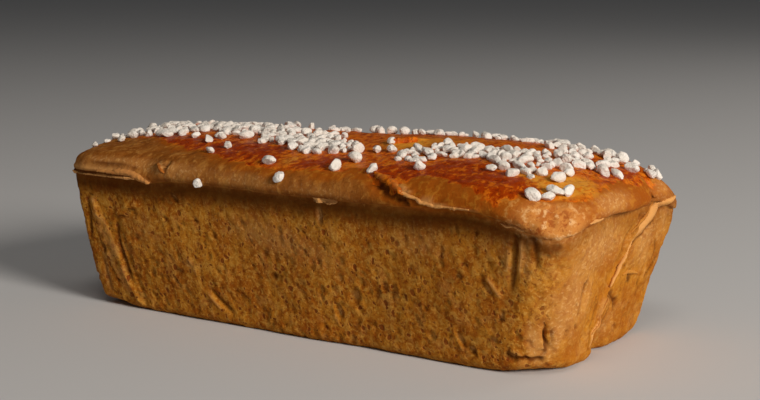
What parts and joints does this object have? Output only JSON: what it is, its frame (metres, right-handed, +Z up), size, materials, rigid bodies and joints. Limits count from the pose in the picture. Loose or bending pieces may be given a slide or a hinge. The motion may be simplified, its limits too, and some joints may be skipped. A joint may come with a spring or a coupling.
{
  "type": "pearl sugar brioche loaf",
  "caption": "Uncut rectangular tin-baked brioche loaf with a glazed domed crust, an overhanging lip and pearl sugar scattered along its top.",
  "frame": {"origin": "middle of the base, on the surface that the loaf stands on", "axes": "+X along the loaf towards the end with the deep folded seam, -Y out of the long side with the folded corner at its left, +Z up"},
  "size_m": [0.2596, 0.1259, 0.0855],
  "materials": {
    "crust": "baked golden-brown crust, glazed on top and matt on its sides",
    "pearl_sugar": "white compressed sugar nibs, matt"
  },
  "bodies": {
    "root": {"brioche_loaf": "crust"}
  },
  "joints": []
}
